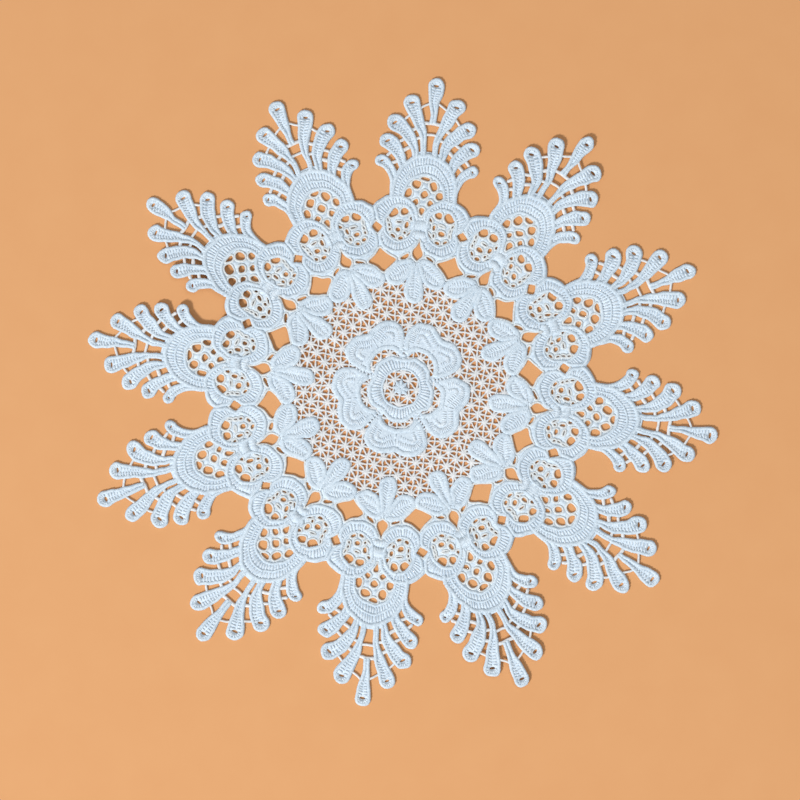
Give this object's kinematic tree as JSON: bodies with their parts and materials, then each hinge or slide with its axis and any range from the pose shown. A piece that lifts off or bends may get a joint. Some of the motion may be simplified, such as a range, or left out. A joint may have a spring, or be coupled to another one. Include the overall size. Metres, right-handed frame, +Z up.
{
  "type": "lace placemat",
  "caption": "Round white lace placemat with scalloped fans of looped fingers, openwork wheels, leaf sprigs, a net ground and a flower at its middle; lies flat.",
  "frame": {"origin": "middle of the mat's bounding box, on the table it lies on", "axes": "+Z up out of the worked face, the first fan's tip 7 degrees clockwise of +Y"},
  "size_m": [0.379, 0.3772, 0.0045],
  "materials": {
    "white_thread": "matt white polyester embroidery thread with a slight sheen, stitched in close ribs"
  },
  "bodies": {
    "root": {"lace_mat": "white_thread"}
  },
  "joints": []
}
